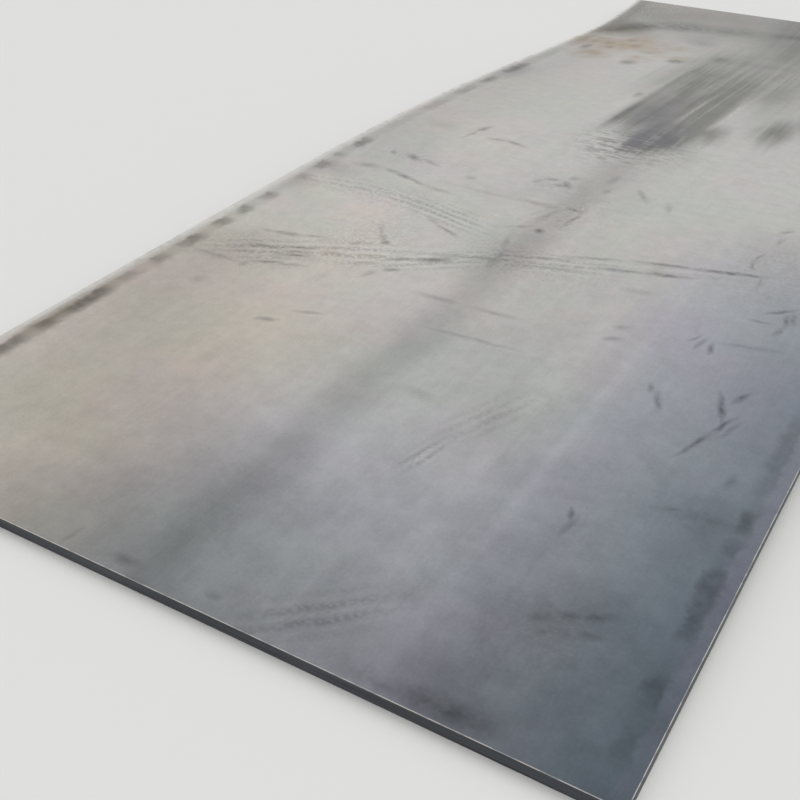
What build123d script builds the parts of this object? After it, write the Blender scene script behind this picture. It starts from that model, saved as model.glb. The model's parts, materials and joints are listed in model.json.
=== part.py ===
from build123d import *
import math
import os

# Steel plate: hot-rolled, cut to length, with a lasting bend towards its far end.
# It lies as it would unheld on a level floor: on the rounded lower near edge and on
# the low line of the curled far end. +X runs across the width, +Y from the near end
# to the far end along the rolling direction, +Z up. All sizes are in millimetres.

# Section
width = 2000.0
thickness = 30.0
edge_round = 2.0

# Lengthwise profile, measured along the upper face from the near end
length = 5300.0
flat_length = 1900.0
drop_radius = 19500.0
drop_turn = 4.5
curl_radius = 5000.0
curl_length = 800.0

# What is left between the two bends is straight.
slope_length = length - flat_length - drop_radius * math.radians(drop_turn) - curl_length
curl_turn = math.degrees(curl_length / curl_radius)

# The bent-down stretch turns about a centre under the plate and the curled end about
# a centre over it, so the lower face keeps both centres, a thickness nearer or farther.
drop_radius_below = drop_radius - thickness
curl_radius_below = curl_radius + thickness


def point_along(start, heading, distance):
    """Point at a distance from a start point, on a heading in degrees."""
    angle = math.radians(heading)
    return (start[0] + distance * math.cos(angle), start[1] + distance * math.sin(angle))


# Centre of the curled end, found with the near stretch level and its lower corner
# at the start.
drop_centre = (flat_length, -drop_radius_below)
slope_start = point_along(drop_centre, 90 - drop_turn, drop_radius_below)
curl_start = point_along(slope_start, -drop_turn, slope_length)
curl_centre = point_along(curl_start, 90 - drop_turn, curl_radius_below)

# The floor is the line under both the rounded near edge and the curled end. Its
# slope here is the angle that the near stretch has when the plate rests on it.
near_round_centre = (edge_round, edge_round)
reach = math.dist(near_round_centre, curl_centre)
centre_line_angle = math.asin((curl_centre[1] - near_round_centre[1]) / reach)
rest_angle = math.degrees(math.asin((curl_radius_below - edge_round) / reach) - centre_line_angle)

# Both faces follow the same bends, side by side, a thickness apart.
upper_start = point_along((0, 0), rest_angle + 90, thickness)

with BuildPart() as blank:
    with BuildSketch(Plane.YZ) as profile:
        with BuildLine() as outline:
            lower_flat = PolarLine((0, 0), flat_length, angle=rest_angle)
            lower_drop = JernArc(lower_flat @ 1, lower_flat % 1, drop_radius_below, -drop_turn)
            lower_slope = PolarLine(lower_drop @ 1, slope_length, direction=lower_drop % 1)
            lower_curl = JernArc(lower_slope @ 1, lower_slope % 1, curl_radius_below, curl_turn)
            upper_flat = PolarLine(upper_start, flat_length, angle=rest_angle)
            upper_drop = JernArc(upper_flat @ 1, upper_flat % 1, drop_radius, -drop_turn)
            upper_slope = PolarLine(upper_drop @ 1, slope_length, direction=upper_drop % 1)
            upper_curl = JernArc(upper_slope @ 1, upper_slope % 1, curl_radius, curl_turn)
            Line(lower_flat @ 0, upper_flat @ 0)
            Line(lower_curl @ 1, upper_curl @ 1)
        make_face()
    extrude(amount=width / 2, both=True)

    # Every rim is slightly rounded, as a cut and handled edge is.
    side_rims = blank.faces().filter_by(Axis.X).edges()
    ends = blank.faces().sort_by(Axis.Y)
    end_rims = ends[0].edges().filter_by(Axis.X) + ends[-1].edges().filter_by(Axis.X)
    fillet(side_rims + end_rims, radius=edge_round)

# The origin is centred under the plate, on the floor.
box = blank.part.bounding_box()

with BuildPart() as steel_plate:
    with Locations((-box.center().X, -box.center().Y, -box.min.Z)):
        add(blank.part)

os.makedirs("parts", exist_ok=True)
steel_plate.part.label = "steel_plate"
export_step(steel_plate.part, "parts/steel_plate.step")
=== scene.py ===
import json
import math

import bpy
from mathutils import Matrix, Vector


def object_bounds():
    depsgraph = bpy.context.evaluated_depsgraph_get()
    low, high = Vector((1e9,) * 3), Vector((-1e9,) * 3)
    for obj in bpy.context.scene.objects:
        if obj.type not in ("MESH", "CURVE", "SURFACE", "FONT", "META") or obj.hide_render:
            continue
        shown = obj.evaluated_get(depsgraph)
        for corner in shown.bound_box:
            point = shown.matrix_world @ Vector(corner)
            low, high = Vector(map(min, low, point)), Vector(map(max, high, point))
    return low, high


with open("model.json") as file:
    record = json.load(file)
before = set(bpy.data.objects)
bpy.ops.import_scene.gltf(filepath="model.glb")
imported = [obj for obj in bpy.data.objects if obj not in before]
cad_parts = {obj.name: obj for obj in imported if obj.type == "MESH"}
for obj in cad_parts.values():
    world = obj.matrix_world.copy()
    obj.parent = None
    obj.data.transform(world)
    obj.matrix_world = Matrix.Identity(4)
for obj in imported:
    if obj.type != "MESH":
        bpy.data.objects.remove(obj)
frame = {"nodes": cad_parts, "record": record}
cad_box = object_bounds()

# Everything on the plate is placed by two lengths in metres: across, from its left
# edge, and along, from its near edge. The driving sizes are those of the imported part.
LOW, HIGH = cad_box
WIDTH = HIGH.x - LOW.x
UPPER_FACE = next(m for m in frame["record"]["mounts"] if m["name"] == "upper_face")
FLAT_LENGTH = 1.9
EDGE_ROUND = 0.002


# Node helpers: a noise mostly lies in NOISE_RANGE, the ends of a depth profile's steps
# are soft over PROFILE_SOFTNESS metres, and a wave texture of scale 1 makes WAVE_TURN
# radians per unit.

NOISE_RANGE = (0.3, 0.7)
PROFILE_SOFTNESS = 0.06
WAVE_TURN = 20


def srgb(red, green, blue):
    """Linear colour of an 8-bit display colour."""
    def linear(value):
        value /= 255
        return value / 12.92 if value <= 0.04045 else ((value + 0.055) / 1.055) ** 2.4
    return (linear(red), linear(green), linear(blue), 1.0)


class Graph:
    """Adds linked nodes to one node tree, each call returning the new output."""

    def __init__(self, tree):
        self.tree = tree

    def add(self, kind, *values, **settings):
        node = self.tree.nodes.new(kind)
        for name, value in settings.items():
            setattr(node, name, value)
        for socket, value in zip(node.inputs, values):
            self.feed(socket, value)
        return node

    def feed(self, socket, value):
        if isinstance(value, bpy.types.NodeSocket):
            self.tree.links.new(value, socket)
        elif value is not None:
            socket.default_value = value

    def math(self, operation, *values):
        return self.add("ShaderNodeMath", *values, operation=operation).outputs[0]

    def vector(self, operation, *values):
        node = self.add("ShaderNodeVectorMath", *values, operation=operation)
        return node.outputs["Value" if operation in ("LENGTH", "DOT_PRODUCT") else "Vector"]

    def scaled(self, vector, across, along, up=0.0):
        return self.vector("MULTIPLY", vector, (across, along, up))

    def centred(self, noise):
        """A coloured noise, moved so that its middle is 0."""
        return self.vector("SUBTRACT", noise, (0.5, 0.5, 0.5))

    def parts(self, vector):
        return self.add("ShaderNodeSeparateXYZ", vector).outputs

    def noise(self, vector, scale=1.0, detail=3.0, roughness=0.55, output="Fac", solid=False):
        """Noise over the plate's face, or through its whole body where solid."""
        node = self.add("ShaderNodeTexNoise", noise_dimensions="3D" if solid else "2D")
        self.feed(node.inputs["Vector"], vector)
        node.inputs["Scale"].default_value = scale
        node.inputs["Detail"].default_value = detail
        node.inputs["Roughness"].default_value = roughness
        return node.outputs[output]

    def laid(self, kind, place, shape, **settings):
        """A texture laid over a shape, so that its unit is the shape's half sizes."""
        node = self.add(kind, **settings)
        mapping = node.texture_mapping
        mapping.vector_type = "TEXTURE"
        mapping.translation, mapping.scale, turn = shape
        mapping.rotation = (0, 0, turn)
        self.feed(node.inputs["Vector"], place)
        return node

    def step(self, value, start, end, low=0.0, high=1.0):
        """Smooth step of value, from low at start to high at end."""
        node = self.add("ShaderNodeMapRange", interpolation_type="SMOOTHSTEP", clamp=False)
        for socket, given in zip(node.inputs[:5], (value, start, end, low, high)):
            self.feed(socket, given)
        return node.outputs[0]

    def swing(self, noise, low, high):
        """From low to high over the range of a noise."""
        return self.step(noise, *NOISE_RANGE, low, high)

    def band(self, value, rise, start, end, fall):
        """0 before rise, 1 between start and end, 0 after fall."""
        lower = self.step(value, rise, start)
        return self.math("MULTIPLY", lower, self.step(value, end, fall, 1.0, 0.0))

    def profile(self, value, reach, steps):
        """Curve over value from 0 to reach, raised to each step's depth along it."""
        node = self.add("ShaderNodeFloatCurve", 1.0, self.math("DIVIDE", value, reach))
        points = node.mapping.curves[0].points
        points[0].location = (0.0, 0.0)
        points[1].location = (1.0, 0.0)
        for start, end, depth in steps:
            soft = min(PROFILE_SOFTNESS, (end - start) / 3)
            for place, height in ((start, 0.0), (start + soft, depth), (end - soft, depth), (end, 0.0)):
                points.new(place / reach, height)
        for point in points:
            point.handle_type = "VECTOR"
        node.mapping.update()
        return node.outputs[0]

    def most(self, *masks):
        result = masks[0]
        for mask in masks[1:]:
            result = self.math("MAXIMUM", result, mask)
        return result

    def times(self, *values):
        result = values[0]
        for value in values[1:]:
            result = self.math("MULTIPLY", result, value)
        return result

    def sum(self, *values):
        result = values[0]
        for value in values[1:]:
            result = self.math("ADD", result, value)
        return result

    def without(self, value, mask, depth=1.0):
        """The value, less that depth of it where the mask is 1."""
        left = self.math("MULTIPLY_ADD", mask, -depth, 1.0)
        return self.math("MULTIPLY", value, left)

    def mix(self, factor, first, second, blend="MIX"):
        node = self.add("ShaderNodeMix", data_type="RGBA", blend_type=blend)
        self.feed(node.inputs[0], factor)
        self.feed(node.inputs[6], first)
        self.feed(node.inputs[7], second)
        return node.outputs[2]


# Camera: it stands by the right long edge before the near end. Its place is given from
# the near left corner, across, along and at right angles to the flat near stretch.

CAMERA_ACROSS = 2.273
CAMERA_BEFORE = 1.151
CAMERA_ABOVE = 1.534
CAMERA_TURN = 31.03
CAMERA_DOWN = 33.63
LENS = 50.71
SENSOR = 36.0
CLIP_END = 200.0


def add_camera():
    up = Vector(UPPER_FACE["axis"]).normalized()
    across = Vector((1, 0, 0))
    along = up.cross(across)
    flat_centre = Vector(UPPER_FACE["pos_m"])
    near_left = flat_centre - along * (FLAT_LENGTH + EDGE_ROUND) / 2 - across * WIDTH / 2
    place = near_left + across * CAMERA_ACROSS - along * CAMERA_BEFORE + up * CAMERA_ABOVE
    turn, down = math.radians(CAMERA_TURN), math.radians(CAMERA_DOWN)
    level = along * math.cos(turn) - across * math.sin(turn)
    look = level * math.cos(down) - up * math.sin(down)
    right = look.cross(up).normalized()
    top = right.cross(look)
    data = bpy.data.cameras.new("camera")
    data.lens = LENS
    data.sensor_width = SENSOR
    data.clip_end = CLIP_END
    camera = bpy.data.objects.new("camera", data)
    bpy.context.collection.objects.link(camera)
    turned = Matrix((right, top, -look)).transposed().to_4x4()
    camera.matrix_world = Matrix.Translation(place) @ turned
    bpy.context.scene.camera = camera


# Stage: a pale floor, an even soft light, and a backdrop that is bright at the horizon
# and dims overhead, which is what the plate's scale mirrors.

FLOOR_COLOR = srgb(226, 226, 224)
FLOOR_ROUGHNESS = 0.9
FLOOR_GLOSS = 0.2
FLOOR_REACH = 60.0
LIGHT_LEVEL = 0.62
SUN_LEVEL = 1.25
SUN_SPREAD = 75.0
SUN_TILT = (-18, 22, 0)
BACKDROP = (
    (0.00, (1.00, 0.99, 0.975)),
    (0.48, (1.00, 0.99, 0.975)),
    (0.60, (0.78, 0.785, 0.80)),
    (0.70, (0.44, 0.455, 0.475)),
    (0.80, (0.33, 0.345, 0.365)),
    (0.88, (0.33, 0.345, 0.365)),
    (1.00, (0.66, 0.67, 0.685)),
)


def add_floor():
    bpy.ops.mesh.primitive_plane_add(size=FLOOR_REACH, location=(0, 0, LOW.z))
    floor = bpy.context.object
    floor.name = "floor"
    material = bpy.data.materials.new("floor")
    material.use_nodes = True
    shader = material.node_tree.nodes["Principled BSDF"]
    shader.inputs["Base Color"].default_value = FLOOR_COLOR
    shader.inputs["Roughness"].default_value = FLOOR_ROUGHNESS
    shader.inputs["Specular IOR Level"].default_value = FLOOR_GLOSS
    floor.data.materials.append(material)


def add_world():
    world = bpy.data.worlds.new("studio")
    bpy.context.scene.world = world
    world.use_nodes = True
    g = Graph(world.node_tree)
    world.node_tree.nodes.clear()
    direction = g.add("ShaderNodeTexCoord").outputs["Generated"]
    height = g.parts(direction)["Z"]
    ramp = g.add("ShaderNodeValToRGB", height)
    stops = ramp.color_ramp.elements
    while len(stops) < len(BACKDROP):
        stops.new(0.5)
    for stop, (place, color) in zip(stops, BACKDROP):
        stop.position = place
        stop.color = (*color, 1.0)
    backdrop = g.add("ShaderNodeBackground", ramp.outputs["Color"], 1.0)
    even = g.add("ShaderNodeBackground", (1.0, 1.0, 1.0, 1.0), LIGHT_LEVEL)
    rays = g.add("ShaderNodeLightPath").outputs
    seen = g.math("MAXIMUM", rays["Is Camera Ray"], rays["Is Glossy Ray"])
    seen = g.math("MAXIMUM", seen, rays["Is Transmission Ray"])
    either = g.add("ShaderNodeMixShader", seen, even.outputs[0], backdrop.outputs[0])
    g.add("ShaderNodeOutputWorld", either.outputs[0])


def add_sun():
    data = bpy.data.lights.new("soft_sun", "SUN")
    data.energy = SUN_LEVEL
    data.angle = math.radians(SUN_SPREAD)
    sun = bpy.data.objects.new("soft_sun", data)
    sun.rotation_euler = [math.radians(angle) for angle in SUN_TILT]
    sun.visible_glossy = False
    bpy.context.collection.objects.link(sun)


# Marks on the upper face. A stroke is (across, along) of its start and of its end, its
# half width and its depth, from 0 to 1. A spot is (across, along) of its middle, its
# half sizes across and along, and its depth.

STROKES = (
    # Branched scratch near the right edge
    (1.740, 0.95, 1.795, 1.10, 0.011, 0.95),
    (1.780, 1.07, 1.818, 1.18, 0.011, 0.95),
    (1.799, 1.12, 1.748, 1.27, 0.012, 1.00),
    (1.798, 1.05, 1.840, 1.18, 0.010, 0.45),
    (1.788, 1.23, 1.816, 1.30, 0.013, 0.80),
    # Short gouges of the near half
    (1.630, 0.56, 1.636, 0.64, 0.011, 0.75),
    (1.636, 0.61, 1.612, 0.66, 0.010, 0.80),
    (1.645, 1.11, 1.612, 1.19, 0.013, 0.95),
    (1.602, 1.17, 1.583, 1.22, 0.011, 0.60),
    (1.622, 1.43, 1.634, 1.50, 0.010, 0.80),
    (1.665, 1.43, 1.656, 1.48, 0.012, 0.80),
    (1.600, 1.46, 1.618, 1.52, 0.008, 0.50),
    (1.650, 1.49, 1.850, 1.54, 0.013, 0.42),
    (0.535, 0.97, 0.585, 0.99, 0.018, 0.65),
    (0.585, 1.05, 0.680, 1.085, 0.012, 0.50),
    (1.070, 0.88, 1.150, 0.87, 0.026, 0.30),
    (0.930, 1.165, 1.260, 1.188, 0.012, 0.42),
    (0.830, 1.325, 0.970, 1.330, 0.020, 0.45),
    (1.000, 1.330, 1.170, 1.335, 0.016, 0.42),
    (0.758, 0.000, 0.760, 0.070, 0.010, 0.45),
    (1.400, 1.360, 1.435, 1.380, 0.019, 0.48),
    (1.400, 1.435, 1.435, 1.445, 0.018, 0.40),
    # Scuffs of the right part past the track
    (1.785, 1.610, 1.795, 1.655, 0.014, 0.80),
    (1.800, 1.665, 1.785, 1.735, 0.015, 0.80),
    (1.815, 1.690, 1.800, 1.760, 0.013, 0.65),
    (1.730, 1.715, 1.805, 1.785, 0.012, 0.75),
    (1.700, 1.660, 1.760, 1.670, 0.010, 0.50),
    (1.625, 1.960, 1.605, 2.020, 0.010, 0.60),
    (1.605, 2.010, 1.625, 2.100, 0.010, 0.60),
    (1.640, 2.170, 1.645, 2.240, 0.012, 0.40),
    (1.625, 2.265, 1.655, 2.305, 0.015, 0.50),
    (1.672, 1.830, 1.655, 1.960, 0.010, 0.45),
    (1.175, 2.270, 1.110, 2.370, 0.017, 0.60),
    (1.265, 2.230, 1.240, 2.310, 0.017, 0.50),
    (1.020, 2.270, 1.030, 2.330, 0.018, 0.45),
    (1.000, 2.350, 1.010, 2.450, 0.022, 0.35),
    # Small marks past the middle
    (0.500, 2.070, 0.830, 2.070, 0.018, 0.24),
    (0.790, 2.075, 0.950, 2.075, 0.024, 0.50),
    (0.970, 2.095, 1.020, 2.085, 0.018, 0.62),
    (1.010, 1.930, 1.030, 2.080, 0.014, 0.50),
    (0.925, 1.930, 0.945, 2.060, 0.018, 0.35),
    (0.880, 1.865, 0.925, 1.905, 0.012, 0.50),
    (0.850, 1.850, 0.880, 1.880, 0.010, 0.40),
    (0.352, 2.510, 0.366, 2.620, 0.015, 0.50),
    (0.360, 2.590, 0.386, 2.690, 0.017, 0.75),
    (0.430, 2.550, 0.520, 2.568, 0.018, 0.55),
    (0.500, 2.570, 0.590, 2.545, 0.020, 0.78),
    (0.280, 2.235, 0.330, 2.205, 0.026, 0.80),
    (0.290, 2.205, 0.320, 2.240, 0.018, 0.60),
    (0.345, 2.225, 0.420, 2.195, 0.020, 0.55),
    (0.225, 2.215, 0.205, 2.245, 0.016, 0.60),
    (0.775, 2.245, 0.800, 2.275, 0.018, 0.55),
    (0.800, 2.290, 0.850, 2.300, 0.018, 0.55),
    (0.845, 2.250, 0.885, 2.265, 0.020, 0.55),
    (0.870, 2.300, 0.895, 2.255, 0.020, 0.75),
    # Rubbed strokes that fan out from the left edge
    (0.080, 1.225, 0.310, 1.217, 0.013, 0.40),
    (0.295, 1.205, 0.305, 1.235, 0.014, 0.50),
    (0.290, 1.240, 0.410, 1.285, 0.013, 0.75),
    (0.380, 1.270, 0.480, 1.300, 0.012, 0.50),
    (0.230, 1.280, 0.260, 1.300, 0.018, 0.40),
    (0.220, 1.330, 0.300, 1.355, 0.018, 0.65),
    (0.290, 1.335, 0.360, 1.375, 0.012, 0.50),
    (0.340, 1.315, 0.460, 1.365, 0.012, 0.95),
    (0.340, 1.345, 0.430, 1.392, 0.011, 0.75),
    (0.330, 1.370, 0.440, 1.415, 0.011, 0.60),
    (0.330, 1.300, 0.380, 1.325, 0.010, 0.50),
    (0.200, 1.440, 0.250, 1.446, 0.012, 0.40),
    (0.240, 1.445, 0.335, 1.468, 0.017, 0.80),
    (0.320, 1.465, 0.430, 1.500, 0.011, 0.45),
    (0.450, 1.405, 0.520, 1.420, 0.018, 0.45),
    (0.505, 1.490, 0.520, 1.530, 0.013, 0.50),
    (0.545, 1.440, 0.640, 1.475, 0.014, 0.45),
    (0.580, 1.390, 0.640, 1.425, 0.016, 0.55),
    (0.650, 1.340, 0.665, 1.380, 0.018, 0.50),
    (0.690, 1.405, 0.715, 1.420, 0.018, 0.75),
    (0.500, 1.680, 0.550, 1.600, 0.013, 0.45),
    (0.545, 1.605, 0.590, 1.555, 0.014, 0.55),
    # Curved bundle's own lines, and the stroke past it
    (0.660, 1.755, 0.770, 1.710, 0.013, 0.65),
    (0.600, 1.790, 0.680, 1.755, 0.012, 0.45),
    (0.150, 2.060, 0.240, 2.075, 0.030, 0.50),
    (0.270, 2.075, 0.350, 2.060, 0.017, 0.60),
    (0.330, 2.062, 0.400, 2.035, 0.020, 0.85),
    (0.390, 2.040, 0.470, 2.010, 0.014, 0.75),
    (0.450, 2.013, 0.590, 1.995, 0.016, 0.38),
    # Clear lines of the double track that runs on to the right edge
    (0.640, 1.450, 0.740, 1.520, 0.012, 0.55),
    (0.735, 1.500, 0.830, 1.565, 0.020, 0.95),
    (0.750, 1.550, 0.850, 1.615, 0.013, 0.65),
    (0.830, 1.590, 0.980, 1.650, 0.013, 0.50),
    (0.940, 1.560, 0.930, 1.720, 0.018, 0.55),
    (0.930, 1.690, 0.895, 1.800, 0.014, 0.45),
    (0.960, 1.620, 1.210, 1.700, 0.012, 0.45),
    (0.960, 1.670, 1.200, 1.780, 0.012, 0.42),
    (1.200, 1.735, 1.370, 1.780, 0.014, 0.75),
    (1.340, 1.775, 1.500, 1.820, 0.016, 0.90),
    (1.100, 1.755, 1.300, 1.835, 0.012, 0.50),
    (1.290, 1.835, 1.490, 1.885, 0.014, 0.70),
    (1.450, 1.872, 1.690, 1.940, 0.017, 0.95),
    (1.340, 1.650, 1.430, 1.670, 0.026, 0.30),
    # Two rows of short marks at the near right
    (1.684, 0.314, 1.716, 0.334, 0.020, 0.62),
    (1.728, 0.343, 1.764, 0.364, 0.020, 0.66),
    (1.772, 0.366, 1.816, 0.388, 0.022, 0.74),
    (1.708, 0.284, 1.732, 0.297, 0.020, 0.55),
    (1.746, 0.303, 1.768, 0.312, 0.018, 0.42),
    (1.782, 0.317, 1.810, 0.331, 0.020, 0.50),
    # Near end, by the cut edge
    (0.880, 0.035, 0.935, 0.040, 0.020, 0.65),
    (1.110, 0.050, 1.140, 0.050, 0.015, 0.60),
    (1.540, 0.030, 1.760, 0.034, 0.040, 1.00),
    (1.430, 0.020, 1.620, 0.022, 0.024, 0.50),
    # Dirt that runs in from the right edge
    (1.790, 0.755, 1.960, 0.775, 0.040, 0.50),
    (1.760, 0.745, 1.850, 0.780, 0.016, 0.50),
    (1.820, 0.735, 1.900, 0.705, 0.020, 0.35),
    (1.880, 0.895, 1.884, 0.945, 0.017, 0.50),
    # Lines beside the big smear
    (0.742, 3.040, 0.748, 3.420, 0.018, 0.50),
    (0.738, 3.300, 0.745, 4.500, 0.022, 0.36),
    (0.600, 3.600, 0.605, 4.200, 0.018, 0.22),
    (0.690, 3.430, 0.688, 3.530, 0.026, 0.65),
)

SPOTS = (
    (0.965, 1.880, 0.022, 0.024, 1.00),
    (0.250, 1.070, 0.040, 0.040, 0.28),
    (0.590, 1.560, 0.022, 0.020, 0.75),
    (0.570, 2.158, 0.028, 0.032, 0.42),
    (0.880, 2.345, 0.028, 0.028, 0.45),
    (0.220, 2.600, 0.100, 0.060, 0.24),
    (0.880, 2.590, 0.028, 0.028, 0.60),
    (0.800, 2.660, 0.020, 0.050, 0.50),
    (0.605, 4.200, 0.050, 0.065, 0.85),
    (0.430, 4.290, 0.050, 0.065, 0.35),
    (0.590, 4.670, 0.100, 0.100, 0.40),
    (0.770, 4.370, 0.050, 0.100, 0.45),
    (0.135, 4.220, 0.026, 0.080, 1.00),
    (0.200, 4.370, 0.034, 0.060, 0.45),
    (0.270, 4.500, 0.040, 0.060, 0.40),
    (0.120, 4.340, 0.030, 0.060, 0.40),
    (0.330, 4.400, 0.040, 0.060, 0.35),
    (0.240, 4.280, 0.030, 0.050, 0.40),
    (0.110, 1.980, 0.130, 0.090, 0.35),
    (0.075, 2.000, 0.060, 0.080, 0.70),
    (0.075, 3.500, 0.080, 0.200, 0.50),
    (1.305, 0.870, 0.130, 0.220, 0.16),
    (1.880, 0.730, 0.090, 0.150, 0.28),
    (1.720, 0.310, 0.080, 0.070, 0.24),
    (1.780, 0.370, 0.060, 0.060, 0.20),
    (1.340, 0.110, 0.130, 0.130, 0.14),
)

# Dirt along the left and the right edge, as (along start, along end, depth)
LEFT_DIRT = (
    (0.02, 0.42, 0.45),
    (0.42, 0.60, 0.90),
    (0.60, 0.70, 0.70),
    (0.70, 0.92, 1.00),
    (0.92, 1.05, 0.45),
    (1.05, 1.18, 0.60),
    (1.19, 1.34, 0.80),
    (1.37, 1.47, 0.80),
    (1.48, 1.58, 0.80),
    (1.62, 1.71, 0.75),
    (1.83, 1.90, 0.60),
    (1.93, 2.04, 1.00),
    (2.06, 2.14, 0.45),
    (2.17, 2.33, 0.85),
    (2.42, 2.66, 0.12),
    (2.70, 2.94, 0.38),
    (2.97, 3.19, 0.50),
    (3.20, 3.40, 0.55),
    (3.41, 3.72, 0.60),
    (3.80, 4.05, 0.20),
    (4.12, 4.50, 0.15),
)
RIGHT_DIRT = (
    (0.06, 0.19, 0.50),
    (0.20, 0.32, 0.80),
    (0.38, 0.66, 0.90),
    (0.66, 0.74, 0.60),
    (0.74, 0.86, 0.90),
    (0.87, 1.28, 0.45),
    (1.34, 1.50, 0.60),
    (1.72, 1.98, 0.50),
    (2.30, 2.44, 0.70),
    (2.80, 3.20, 0.45),
    (3.60, 3.78, 0.60),
    (4.20, 4.70, 0.50),
)
DIRT_REACH = 5.3

# Rubbed bundles of fine parallel lines: a stroke with the number of its lines between
# its half width and its depth. Their contrast is a factor and what is added to it.
BUNDLES = (
    (0.100, 1.870, 0.360, 1.900, 0.075, 4, 0.55),
    (0.300, 1.895, 0.620, 1.850, 0.075, 4, 0.52),
    (0.540, 1.860, 0.790, 1.800, 0.090, 6, 0.80),
    (0.640, 1.420, 0.960, 1.660, 0.085, 5, 0.68),
    (0.900, 1.640, 1.300, 1.770, 0.100, 6, 0.62),
    (1.250, 1.790, 1.700, 1.920, 0.070, 3, 0.34),
    (0.200, 1.280, 0.430, 1.400, 0.120, 6, 0.72),
    (0.440, 1.400, 0.700, 1.520, 0.120, 5, 0.60),
    (1.230, 0.020, 1.430, 0.200, 0.080, 4, 0.66),
    (1.232, 0.590, 1.265, 0.730, 0.040, 3, 0.80),
    (1.250, 0.740, 1.350, 0.990, 0.080, 5, 0.42),
    (1.000, 1.930, 1.020, 2.200, 0.050, 3, 0.35),
    (0.890, 1.940, 0.960, 2.120, 0.060, 3, 0.30),
    (0.040, 1.230, 0.300, 1.370, 0.060, 3, 0.26),
)
LINE_CONTRAST = (1.4, -0.34)

# Scuffed areas, speckled with fine dents and rubbed grains, as spots
SCUFFED = (
    (0.520, 1.530, 0.240, 0.320, 1.00),
    (0.280, 1.330, 0.300, 0.200, 0.70),
    (1.000, 1.660, 0.500, 0.200, 0.60),
    (0.460, 1.870, 0.520, 0.150, 0.75),
    (1.020, 2.040, 0.160, 0.280, 0.60),
    (0.320, 2.220, 0.260, 0.140, 0.60),
    (0.840, 2.260, 0.170, 0.130, 0.60),
    (0.920, 2.780, 0.320, 0.320, 0.80),
    (1.680, 1.980, 0.260, 0.500, 0.50),
    (1.740, 0.300, 0.180, 0.200, 0.40),
)

# Broad patches where the scale is darker, as spots
DARK_PATCHES = (
    (0.90, -0.05, 0.60, 0.72, 0.30),
    (0.15, 0.95, 0.45, 0.55, 0.10),
    (0.40, 0.30, 0.50, 0.50, 0.06),
    (1.55, 0.00, 0.45, 0.20, 0.12),
    (1.70, 0.22, 0.26, 0.50, 0.15),
    (0.36, 0.62, 0.48, 0.52, 0.10),
    (0.72, 1.45, 0.45, 0.55, -0.08),
    (0.20, 1.33, 0.30, 0.20, 0.11),
    (1.00, 2.30, 0.24, 0.40, 0.09),
    (0.80, 2.20, 0.10, 0.22, 0.07),
    (0.86, 3.20, 0.12, 0.18, 0.10),
    (1.05, 2.88, 0.12, 0.14, 0.09),
    (0.95, 3.50, 0.12, 0.20, 0.14),
    (1.09, 2.78, 0.14, 0.36, 0.11),
    (1.75, 2.05, 0.28, 0.45, 0.08),
    (0.70, 5.05, 0.60, 0.40, 0.16),
    (0.22, 5.28, 0.36, 0.20, -0.20),
    (0.30, 4.44, 0.24, 0.22, -0.06),
    (1.00, 4.58, 0.30, 0.42, 0.20),
    (0.55, 4.72, 0.16, 0.18, 0.10),
    (1.31, 3.40, 0.22, 0.42, 0.16),
    (0.10, 3.50, 0.14, 0.24, 0.10),
    (0.18, 2.35, 0.22, 0.55, 0.06),
    (0.12, 1.12, 0.22, 0.45, 0.10),
    (0.40, 1.70, 0.24, 0.24, -0.05),
    (1.10, 0.70, 0.45, 0.50, -0.06),
    (0.05, 3.40, 0.50, 2.20, 0.14),
    (0.92, 1.68, 0.22, 0.30, 0.12),
)

# The big smear's spots beside its bands, its darker tip and its rippled fringe
SMEAR = (
    (0.970, 2.92, 0.170, 0.30, 0.90),
    (1.060, 3.05, 0.120, 0.28, 0.60),
    (0.850, 3.18, 0.120, 0.24, 0.50),
    (1.100, 3.10, 0.140, 0.24, 0.55),
    (1.335, 3.28, 0.110, 0.32, 0.55),
    (1.430, 3.50, 0.120, 0.34, 0.45),
)
SMEAR_TIP = (
    (0.940, 2.94, 0.180, 0.34, 1.00),
    (0.850, 3.25, 0.130, 0.45, 0.80),
)
FRINGE = (
    (0.930, 2.80, 0.280, 0.33, 1.00),
)

# Light lines, as strokes; the long one at across 1.5 is a painted highlight streak
LIGHT_LINES = (
    (0.965, 3.10, 0.966, 3.80, 0.010, 0.60),
    (1.115, 3.12, 1.118, 3.72, 0.014, 0.70),
    # Painted highlight: a thin streak along the length
    (1.506, -0.60, 1.502, 2.20, 0.026, 0.85),
    (1.385, 0.20, 1.375, 1.70, 0.040, 0.50),
    (0.680, 3.02, 0.685, 3.52, 0.040, 0.50),
    (1.288, 3.06, 1.278, 3.60, 0.012, 0.60),
    (1.300, 1.780, 1.420, 1.850, 0.030, 0.35),
    (0.090, 1.800, 0.300, 1.790, 0.060, 0.50),
    (0.500, 1.960, 0.650, 1.930, 0.030, 0.35),
)

# Low line of the curled end, darkened as painted shade in its valley, as strokes
VALLEY_SHADE = (
    (0.02, 4.58, 0.14, 4.78, 0.090, 0.80),
    (0.12, 4.76, 0.32, 4.92, 0.110, 0.85),
    (0.26, 4.90, 0.55, 4.96, 0.120, 0.75),
    (0.48, 4.94, 0.82, 5.01, 0.110, 0.50),
    (0.75, 4.99, 1.20, 5.08, 0.070, 0.45),
    (1.10, 5.06, 2.00, 5.14, 0.080, 0.35),
)

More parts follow.
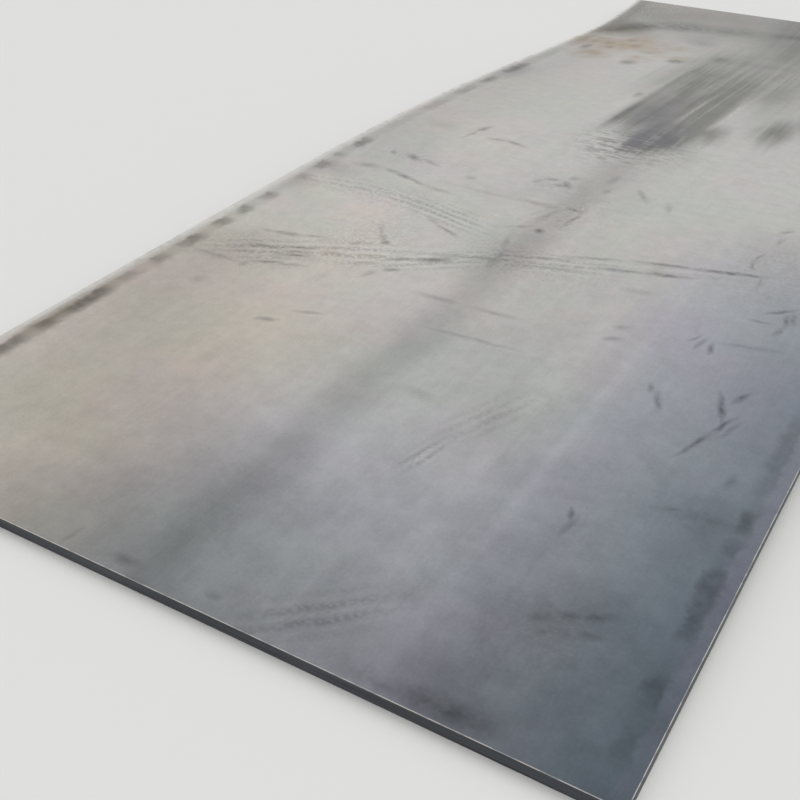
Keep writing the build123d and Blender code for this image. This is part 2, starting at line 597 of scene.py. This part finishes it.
# Rust, oily stains and dust, as spots
RUST_SPOTS = (
    (0.270, 4.42, 0.260, 0.38, 0.80),
    (0.110, 4.42, 0.200, 0.34, 0.80),
    (0.235, 4.29, 0.030, 0.070, 0.95),
    (0.330, 4.53, 0.040, 0.080, 0.85),
    (0.460, 4.42, 0.180, 0.240, 0.60),
    (0.560, 4.26, 0.160, 0.120, 0.55),
    (0.220, 4.08, 0.160, 0.160, 0.80),
    (0.450, 4.12, 0.110, 0.120, 0.55),
    (0.060, 3.30, 0.028, 0.100, 0.40),
)
OLIVE_SPOTS = (
    (0.052, 0.720, 0.045, 0.300, 0.85),
    (0.066, 3.560, 0.036, 0.150, 0.55),
    (0.430, 4.030, 0.050, 0.080, 0.75),
    (0.140, 4.740, 0.170, 0.220, 1.00),
    (0.090, 1.820, 0.080, 0.070, 0.25),
    (1.715, 0.300, 0.070, 0.080, 0.18),
    (1.380, 1.820, 0.030, 0.080, 0.25),
)
DUST_SPOTS = (
    (0.010, 4.850, 0.200, 0.480, 0.90),
    (0.120, 5.200, 0.420, 0.320, 0.90),
    (0.150, 4.170, 0.080, 0.200, 0.45),
)


def spot_shape(across, along, half_across, half_along, *rest):
    """Middle of a spot, its half sizes and turn, and the rest as given."""
    return ((across, along, 0), (half_across, half_along, 1), 0.0, *rest)


def stroke_shape(start_across, start_along, end_across, end_along, half_width, *rest):
    """Middle of a stroke, its half sizes and turn, and the rest as given."""
    reach = Vector((end_across - start_across, end_along - start_along))
    middle = ((start_across + end_across) / 2, (start_along + end_along) / 2, 0)
    return (middle, (reach.length / 2 + half_width, half_width, 1), math.atan2(reach.y, reach.x), *rest)


def soft_oval(g, place, shape):
    """Mask that falls evenly from the shape's middle to its outline."""
    return g.laid("ShaderNodeTexGradient", place, shape, gradient_type="SPHERICAL").outputs["Fac"]


def parallel_lines(g, place, shape, lines):
    """That many soft lines, side by side along the shape."""
    node = g.laid("ShaderNodeTexWave", place, shape, bands_direction="Y")
    node.inputs["Scale"].default_value = lines * math.pi / WAVE_TURN
    return node.outputs["Fac"]


def marks(g, place, shapes):
    """Mask of all the shapes, each as deep as it says."""
    mask = 0.0
    for *shape, depth in shapes:
        mask = g.math("MAXIMUM", mask, g.math("MULTIPLY", soft_oval(g, place, shape), depth))
    return mask


def spots(g, place, listed):
    """Mask of listed spots."""
    return marks(g, place, [spot_shape(*spot) for spot in listed])


def bundles(g, place, shapes):
    """Sum of all the bundles of lines: above 0 in their dark lines, below 0 between."""
    total = 0.0
    for *shape, lines, depth in shapes:
        rubbed = g.math("MULTIPLY_ADD", parallel_lines(g, place, shape, lines), *LINE_CONTRAST)
        total = g.math("MULTIPLY_ADD", rubbed, g.times(soft_oval(g, place, shape), depth), total)
    return total


# Colours of the clean scale and of what lies on it; the warm, cool, purple and blue scale colours also
# hold a painted reflection of a shallow wave, lighter to the left and darker to the right of the near
# half. The tints multiply the colour.

WARM_REFLECTION_SCALE = srgb(203, 194, 184)
PLAIN_SCALE = srgb(189, 189, 187)
COOL_REFLECTION_SCALE = srgb(184, 187, 191)
PURPLE_REFLECTION_SCALE = srgb(170, 171, 180)
BLUE_REFLECTION_SCALE = srgb(122, 133, 143)
PINK_TINT = (1.02, 0.985, 1.0, 1.0)
GREEN_TINT = (0.985, 1.01, 0.985, 1.0)
RUBBED_TINT = (1.07, 1.05, 1.00, 1.0)
RIGHT_TINT = (1.040, 0.972, 0.995, 1.0)
SMEAR_COLOR = srgb(111, 113, 107)
SMEAR_TIP_COLOR = srgb(99, 98, 106)
RUST = srgb(180, 160, 134)
OLIVE = srgb(117, 109, 82)
DUST = srgb(168, 164, 156)
# The sides' colours: the dark oxide of the cut, darkened further as painted shade
SIDE_DARK = srgb(44, 48, 54)
SIDE_LIGHT = srgb(80, 84, 90)
WORN_EDGE = srgb(213, 210, 204)

# Noises that are the same all ways, as turns per metre, detail and roughness
RAGGED = (24.0, 2.0)
CLOUDS = (2.2, 3.0, 0.6)
MOTTLE = (7.0, 4.0, 0.62)
GRAIN = (150.0, 1.0, 0.6)
SPECKS = (75.0, 1.0, 0.6)

# Noises that are drawn out, as turns per metre each way, with their own three values
STREAK_TURNS = (24.0, 0.8)
STREAKS = (1.0, 3.0, 0.65)
RIPPLE_TURNS = (9.0, 48.0)
RIPPLES = (1.0, 1.0, 0.6)
FINE_STREAK_TURNS = (120.0, 3.0)
FINE_STREAKS = (1.0, 2.0, 0.6)
CUT_LINE_TURNS = (3.0, 3.0, 500.0)
CUT_LINES = (1.0, 3.0, 0.65)

# How far a noise moves the marks, the patches and the smear, across and along
RAGGED_REACH = (0.016, 0.016)
WAVY_REACH = (0.16, 0.22)
TORN_REACH = (0.04, 0.22)

# How level a face is, from 0 to 1, where the top, the sides and the rims begin and end
TOP_LEVEL = (0.2, 0.7)
SIDE_LEVEL = (0.15, 0.5)
RIM_LEVEL = (0.25, 0.5, 0.9, 0.985)

# Share by which a noise lightens and darkens the scale
MOTTLE_SHARE = 0.06
GRAIN_SHARE = 0.03
FINE_STREAK_SHARE = 0.012
RIPPLE_SHARE = 0.02
DRIFT_SHARE = 0.06
PATCHY_SHARE = 0.16

# How a noise varies each kind of mark, as the start and end of a step in the noise and
# the step's low and high value
WARM_CLOUDS = (0.35, 0.65, -0.18, 0.18)
TINT_CLOUDS = (0.38, 0.62)
SCUFF_SPECKS = (0.34, 0.64, 0.06, -0.12)
LINE_FLECKS = (0.34, 0.58, 0.15, 1.0)
MARK_BREAKS = (-0.14, 0.06, 0.55, 1.0)
DIRT_BREAKS = (-0.20, 0.16, 0.60, 1.0)
WORN_BREAKS = (-0.16, 0.04, 0.35, 0.9)
SMEAR_BREAKS = (-0.16, 0.10, 0.72, 1.0)
FRINGE_BREAKS = (-0.14, 0.06, 0.15, 1.0)
FRINGE_GAPS = (0.38, 0.50, 1.0, 0.0)
FRINGE_RIPPLES = (0.40, 0.58)
RUST_BREAKS = (0.38, 0.60, 0.45, 1.0)
SIDE_LINES = (0.35, 0.68)
RIM_BREAKS = (-0.12, 0.04, 0.35, 1.0)

# Where the tinted areas begin and end: a step has two places, a band has four
# The warm, cool, purple and blue areas below place the painted reflection of a shallow wave
WARM_ACROSS = (0.30, 1.20)
WARM_ALONG = (0.9, 2.2)
WARM_FAR_SHARE = 0.15
NEAR_ALONG = (1.4, 2.6)
COOL_ACROSS = (0.62, 1.05)
COOL_ALONG = (0.45, 1.05)
COOL_SHARE = 0.9
PURPLE_ACROSS = (1.34, 1.60)
BLUE_ACROSS = (1.56, 1.98)
BLUE_ALONG = (0.1, 1.0)
BLUE_FAR_SHARE = 0.80
RIPPLED_ALONG = (1.4, 2.2)

# The far half is darker by steps, as (along start, along end, share left)
FAR_SHADE = (
    (1.9, 2.6, 0.965),
    (2.4, 3.7, 0.85),
    (4.3, 4.9, 0.75),
)

# The soft darker band along the length, a painted shade of a shallow wave in the plate
WAVE_SHADE_ACROSS = (0.885, 0.985, 1.010, 1.105)
WAVE_SHADE_END = (2.7, 3.3)
WAVE_SHADE_WANDER = 0.05
WAVE_SHADE_DEPTH = 0.18

# Dirt, bright strips and worn rim along the long edges
LEFT_DIRT_ACROSS = (0.030, 0.047, 0.068, 0.102)
RIGHT_DIRT_ACROSS = (1.918, 1.948, 1.960, 1.978)
DIRT_WANDER = 0.03
LEFT_DIRT_DEPTH = (0.20, 0.88)
RIGHT_DIRT_DEPTH = (0.15, 0.75)
LEFT_STRIP = (0.016, 0.040)
RIGHT_STRIP = (1.960, 1.980)
WORN_STRIP = (0.008, 0.026)

# The big smear's areas, as bands across and along
SMEAR_MAIN = ((0.690, 0.755, 1.060, 1.140), (2.78, 3.16, 3.90, 4.90))
SMEAR_TAIL = ((0.54, 0.80, 1.15, 1.50), (3.35, 3.90, 4.35, 4.80))
SMEAR_FAR = ((0.72, 1.05, 1.20, 1.90), (4.0, 4.6))
SMEAR_TAIL_DEPTH = 0.75
SMEAR_FAR_DEPTH = 0.65

# Height of a soft spot over which it is whole
PATCH_WHOLE = 0.8
SMEAR_WHOLE = 0.6
SMEAR_TIP_WHOLE = 0.7
RUST_WHOLE = 0.75

# How much the darkest mark takes off the tone, and the lightest adds
STROKE_DARKENS = 0.60
LINE_DARKENS = 0.42
LIGHT_LIGHTENS = 0.14
GAPS_LIGHTEN = 0.04
RIGHT_STRIP_LIGHT = 0.1

# How much of the smear is missing in light lines and in the fringe's gaps
LINES_CLEAR = 0.85
GAPS_CLEAR = 0.5

# Between the lines of a bundle, the scale is rubbed to its own tint
RUBBED_LINES = (-0.03, -0.22)

# How much of the scale's colour each cover hides
STRIP_COVER = 0.8
RUST_COVER = 0.85
OLIVE_COVER = 0.85
DUST_COVER = 0.75

# How dull each cover is, and how much rougher the marks, the smear and the covers are
DULL_DUST = 0.9
DULL_RUST = 0.6
DULL_OLIVE = 0.6
DULL_SIDES = 0.75
ROUGH_MARKS = 0.12
ROUGH_SMEAR = 0.06
ROUGH_COVERS = 0.30

# Gloss of the clean scale, from smoother to rougher, and its fine relief
METALLIC = 0.92
ROUGHNESS = (0.29, 0.35)
GRAIN_HEIGHT = 0.35
FINE_STREAK_HEIGHT = 0.25
CUT_LINE_HEIGHT = 0.8
BUMP_STRENGTH = 0.25
BUMP_DISTANCE = 0.001


def plate_color(g, across, along, clouds):
    """Colour of the upper face's clean scale, with a painted reflection of a shallow wave: lighter and
    warmer to the left, darker and bluer to the right of the near half.
    """
    warm = g.times(g.step(across, *WARM_ACROSS, 1.0, 0.0), g.step(along, *WARM_ALONG, 1.0, WARM_FAR_SHARE))
    warm = g.math("ADD", warm, g.step(clouds["X"], *WARM_CLOUDS))
    color = g.mix(warm, PLAIN_SCALE, WARM_REFLECTION_SCALE)
    near = g.step(along, *NEAR_ALONG, 1.0, 0.0)
    purple = g.times(g.step(across, *PURPLE_ACROSS), near)
    cool = g.times(g.step(across, *COOL_ACROSS), g.step(along, *COOL_ALONG, COOL_SHARE, 0.0))
    color = g.mix(cool, color, COOL_REFLECTION_SCALE)
    color = g.mix(purple, color, PURPLE_REFLECTION_SCALE)
    blue = g.times(g.step(across, *BLUE_ACROSS), near, g.step(along, *BLUE_ALONG, 1.0, BLUE_FAR_SHARE))
    color = g.mix(blue, color, BLUE_REFLECTION_SCALE)
    tint = g.mix(g.step(clouds["Y"], *TINT_CLOUDS), PINK_TINT, GREEN_TINT)
    return g.mix(1.0, color, tint, "MULTIPLY")


def big_smear(g, smeared):
    """Mask of the greasy smear on the far half, in coordinates torn along the rolling."""
    torn = g.parts(smeared)
    across, along = torn["X"], torn["Y"]
    main = g.times(g.band(across, *SMEAR_MAIN[0]), g.band(along, *SMEAR_MAIN[1]))
    tail = g.times(g.band(across, *SMEAR_TAIL[0]), g.band(along, *SMEAR_TAIL[1]), SMEAR_TAIL_DEPTH)
    far = g.times(g.band(across, *SMEAR_FAR[0]), g.step(along, *SMEAR_FAR[1]), SMEAR_FAR_DEPTH)
    return g.most(main, tail, far, g.step(spots(g, smeared, SMEAR), 0.0, SMEAR_WHOLE))


def edge_dirt(g, along, across, steps, limits, *depths):
    """Dirt along one long edge, deeper on its steps."""
    depth = g.step(g.profile(along, DIRT_REACH, steps), 0.0, 1.0, *depths)
    return g.times(depth, g.band(across, *limits))


def plate_material():
    material = bpy.data.materials.new("mill_steel")
    material.use_nodes = True
    g = Graph(material.node_tree)
    shader = material.node_tree.nodes["Principled BSDF"]

    place = g.add("ShaderNodeTexCoord").outputs["Object"]
    plate = g.vector("SUBTRACT", place, tuple(LOW))
    level = g.scaled(plate, 1.0, 1.0)
    plate_parts = g.parts(plate)
    plate_across, along = plate_parts["X"], plate_parts["Y"]
    facing = g.parts(g.add("ShaderNodeNewGeometry").outputs["Normal"])["Z"]
    on_top = g.step(facing, *TOP_LEVEL)
    upright = g.math("ABSOLUTE", facing)
    on_side = g.step(upright, *SIDE_LEVEL, 1.0, 0.0)
    on_rim = g.band(upright, *RIM_LEVEL)

    # Wandering coordinates: ragged for marks, wavy for patches, torn for the smear
    ragged = g.centred(g.noise(level, *RAGGED, output="Color"))
    drawn = g.vector("ADD", level, g.scaled(ragged, *RAGGED_REACH))
    drawn_across = g.parts(drawn)["X"]
    ragged = g.parts(ragged)
    patchy, rippled = ragged["Z"], ragged["Y"]
    clouds = g.noise(level, *CLOUDS, output="Color")
    wavy = g.vector("ADD", level, g.scaled(g.centred(clouds), *WAVY_REACH))
    wavy_parts = g.parts(wavy)
    clouds = g.parts(clouds)
    streaks = g.centred(g.noise(g.scaled(level, *STREAK_TURNS), *STREAKS, output="Color"))
    smeared = g.vector("ADD", level, g.scaled(streaks, *TORN_REACH))
    drift = g.parts(streaks)["Z"]

    # Scale: cloudy, with faint streaks along the rolling and a fine grain
    color = plate_color(g, wavy_parts["X"], wavy_parts["Y"], clouds)
    mottle = g.noise(level, *MOTTLE)
    grain = g.noise(plate, *GRAIN, solid=True)
    ripples = g.noise(g.scaled(level, *RIPPLE_TURNS), *RIPPLES)
    fine_streaks = g.noise(g.scaled(level, *FINE_STREAK_TURNS), *FINE_STREAKS)
    tone = g.sum(g.swing(mottle, 1 - MOTTLE_SHARE, 1 + MOTTLE_SHARE),
                 g.swing(grain, -GRAIN_SHARE, GRAIN_SHARE),
                 g.swing(fine_streaks, -FINE_STREAK_SHARE, FINE_STREAK_SHARE),
                 g.math("MULTIPLY", drift, DRIFT_SHARE),
                 g.math("MULTIPLY", patchy, PATCHY_SHARE),
                 g.times(g.swing(ripples, -RIPPLE_SHARE, RIPPLE_SHARE), g.step(along, *RIPPLED_ALONG)))
    tone = g.times(tone, *[g.step(along, start, end, 1.0, left) for start, end, left in FAR_SHADE])

    # Broad darker patches, and the soft band along the length, a painted shade of a shallow wave
    for shape in DARK_PATCHES:
        *spot, depth = spot_shape(*shape)
        patch = g.step(soft_oval(g, wavy, spot), 0.0, PATCH_WHOLE, 0.0, depth)
        tone = g.without(tone, g.math("MULTIPLY", patch, on_top))
    # Painted shade: a darker band along the length where the plate has a shallow wave
    band = g.band(g.math("MULTIPLY_ADD", clouds["Z"], WAVE_SHADE_WANDER, plate_across), *WAVE_SHADE_ACROSS)
    band = g.times(band, g.step(along, *WAVE_SHADE_END, 1.0, 0.0), on_top)
    tone = g.without(tone, band, WAVE_SHADE_DEPTH)

    # Strokes, spots, rubbed bundles, dirt along the edges and the painted shade of the curled end's valley
    specks = g.noise(level, *SPECKS)
    scuffed = g.times(spots(g, drawn, SCUFFED), on_top)
    tone = g.sum(tone, g.times(scuffed, g.step(specks, *SCUFF_SPECKS)))
    flecks = g.step(specks, *LINE_FLECKS)
    lines = g.times(bundles(g, drawn, [stroke_shape(*s) for s in BUNDLES]), flecks)
    # The low line's strokes are painted shade in the valley of the curled end
    shapes = [stroke_shape(*s) for s in STROKES + VALLEY_SHADE]
    shapes += [spot_shape(*s) for s in SPOTS]
    dark = g.times(marks(g, drawn, shapes), g.step(patchy, *MARK_BREAKS))
    edge_across = g.math("MULTIPLY_ADD", patchy, DIRT_WANDER, drawn_across)
    left_dirt = edge_dirt(g, along, edge_across, LEFT_DIRT, LEFT_DIRT_ACROSS, *LEFT_DIRT_DEPTH)
    right_dirt = edge_dirt(g, along, edge_across, RIGHT_DIRT, RIGHT_DIRT_ACROSS, *RIGHT_DIRT_DEPTH)
    dirt = g.times(g.math("ADD", left_dirt, right_dirt), g.step(patchy, *DIRT_BREAKS))
    dark = g.times(g.most(dark, dirt), on_top)
    lines = g.math("MULTIPLY", lines, on_top)

    # Light lines, and the worn strips along the long edges
    light = marks(g, drawn, [stroke_shape(*s) for s in LIGHT_LINES])
    strip = g.times(g.step(drawn_across, *LEFT_STRIP, 1.0, 0.0), on_top)
    right_strip = g.times(g.step(drawn_across, *RIGHT_STRIP), on_top)
    top_light = g.most(g.times(light, on_top), strip, g.times(right_strip, RIGHT_STRIP_LIGHT))
    worn = g.times(g.step(plate_across, *WORN_STRIP, 1.0, 0.0), g.step(patchy, *WORN_BREAKS), on_top)

    # Smear with its rippled fringe, rust, olive stains and dust
    smear = g.times(big_smear(g, smeared), g.step(drift, *SMEAR_BREAKS), on_top)
    smear = g.without(smear, light, LINES_CLEAR)
    tip = g.step(spots(g, smeared, SMEAR_TIP), 0.0, SMEAR_TIP_WHOLE)
    fringe = g.times(spots(g, smeared, FRINGE), on_top)
    gaps = g.times(fringe, g.step(ripples, *FRINGE_GAPS))
    tone = g.sum(tone, g.math("MULTIPLY", gaps, GAPS_LIGHTEN))
    smear = g.without(smear, gaps, GAPS_CLEAR)
    fringe = g.times(fringe, g.step(ripples, *FRINGE_RIPPLES), g.step(rippled, *FRINGE_BREAKS))
    rust = g.step(spots(g, wavy, RUST_SPOTS), 0.0, RUST_WHOLE)
    rust = g.times(rust, on_top, g.step(mottle, *RUST_BREAKS))
    olive = g.times(spots(g, drawn, OLIVE_SPOTS), on_top)
    dust = g.times(spots(g, wavy, DUST_SPOTS), on_top, flecks)

    color = g.mix(g.times(strip, STRIP_COVER), color, PLAIN_SCALE)
    color = g.mix(right_strip, color, RIGHT_TINT, "MULTIPLY")
    color = g.mix(g.math("MAXIMUM", smear, fringe), color, SMEAR_COLOR)
    color = g.mix(g.times(tip, g.most(smear, fringe)), color, SMEAR_TIP_COLOR)
    color = g.mix(g.math("MULTIPLY", rust, RUST_COVER), color, RUST)
    color = g.mix(g.math("MULTIPLY", olive, OLIVE_COVER), color, OLIVE)
    color = g.mix(g.math("MULTIPLY", dust, DUST_COVER), color, DUST)
    tone = g.times(tone, g.math("MULTIPLY_ADD", dark, -STROKE_DARKENS, 1.0),
                   g.math("MULTIPLY_ADD", lines, -LINE_DARKENS, 1.0),
                   g.math("MULTIPLY_ADD", top_light, LIGHT_LIGHTENS, 1.0))
    color = g.mix(g.step(lines, *RUBBED_LINES), color, RUBBED_TINT, "MULTIPLY")
    color = g.mix(1.0, color, tone, "MULTIPLY")

    # Sides: dark oxide with striations of the cut, darkened further as painted shade, under a worn bright
    # rim
    cut_lines = g.noise(g.scaled(plate, *CUT_LINE_TURNS), *CUT_LINES, solid=True)
    side = g.mix(g.step(cut_lines, *SIDE_LINES), SIDE_DARK, SIDE_LIGHT)
    color = g.mix(on_side, color, side)
    color = g.mix(worn, color, WORN_EDGE)
    color = g.mix(g.times(on_rim, g.step(patchy, *RIM_BREAKS)), color, WORN_EDGE)

    # Dust, rust, stains and the oxide of the sides are duller than the scale
    dull = g.most(g.math("MULTIPLY", dust, DULL_DUST), g.math("MULTIPLY", rust, DULL_RUST),
                  g.math("MULTIPLY", olive, DULL_OLIVE), g.math("MULTIPLY", on_side, DULL_SIDES))
    g.feed(shader.inputs["Base Color"], color)
    g.feed(shader.inputs["Metallic"], g.math("MULTIPLY_ADD", dull, -METALLIC, METALLIC))
    rough = g.sum(g.swing(mottle, *ROUGHNESS), g.math("MULTIPLY", dark, ROUGH_MARKS),
                  g.math("MULTIPLY", smear, ROUGH_SMEAR), g.math("MULTIPLY", dull, ROUGH_COVERS))
    g.feed(shader.inputs["Roughness"], rough)

    relief = g.sum(g.math("MULTIPLY", grain, GRAIN_HEIGHT),
                   g.math("MULTIPLY", fine_streaks, FINE_STREAK_HEIGHT),
                   g.math("MULTIPLY", g.times(cut_lines, on_side), CUT_LINE_HEIGHT))
    bump = g.add("ShaderNodeBump")
    bump.inputs["Strength"].default_value = BUMP_STRENGTH
    bump.inputs["Distance"].default_value = BUMP_DISTANCE
    g.feed(bump.inputs["Height"], relief)
    g.feed(shader.inputs["Normal"], bump.outputs["Normal"])
    return material


def dress_plate():
    plate = frame["nodes"]["steel_plate"]
    material = plate_material()
    for slot in plate.material_slots:
        slot.material = material


dress_plate()
add_floor()
add_world()
add_sun()
add_camera()
bpy.context.scene.view_settings.view_transform = "Standard"
